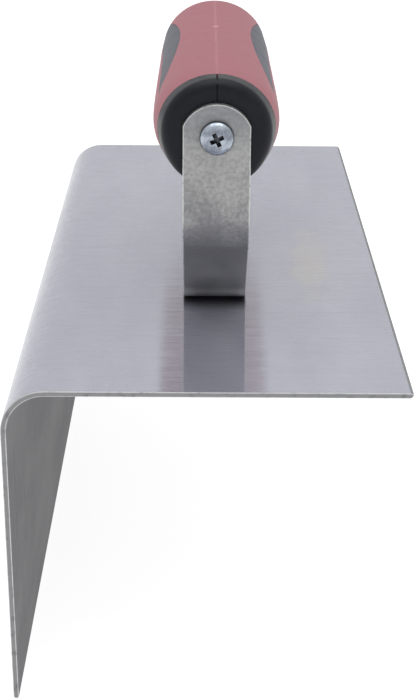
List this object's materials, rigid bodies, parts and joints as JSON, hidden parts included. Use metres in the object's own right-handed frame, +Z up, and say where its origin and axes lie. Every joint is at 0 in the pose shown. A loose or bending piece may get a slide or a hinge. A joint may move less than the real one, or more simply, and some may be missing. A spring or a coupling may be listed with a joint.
{
  "type": "outside corner finishing trowel",
  "caption": "Hand trowel with a sheet blade bent to a rounded right angle, a bent strip bracket and a soft two-colour handle held by a screw.",
  "frame": {"origin": "on the top leaf's underside, which is a working face, in the middle plane of the handle and at the middle of the blade's length", "axes": "+X to the top leaf's free edge (the side leaf is on the -X side), +Y along the blade to the end behind the handle's domed end, +Z up through the handle, away from the work"},
  "size_m": [0.1143, 0.254, 0.1789],
  "materials": {
    "blade_steel": "cold-rolled stainless sheet, fine lengthwise brush, deburred bright edges",
    "bracket_steel": "tumbled strip steel, matte and mottled, bright sheared edges",
    "rivet_steel": "plain steel, pressed",
    "hard_core": "moulded satin black",
    "zinc_plate": "bright zinc plate",
    "soft_sleeve": "soft moulded grip, matte dusty red",
    "soft_pad": "soft moulded grip, matte dark grey"
  },
  "bodies": {
    "root": {"blade": "blade_steel", "bracket": "bracket_steel", "rivet_front": "rivet_steel", "rivet_rear": "rivet_steel", "core_left": "hard_core", "core_right": "hard_core", "captive_nut": "zinc_plate", "handle_screw": "zinc_plate", "grip_sleeve": "soft_sleeve", "pad_left": "soft_pad", "pad_right": "soft_pad"}
  },
  "joints": []
}
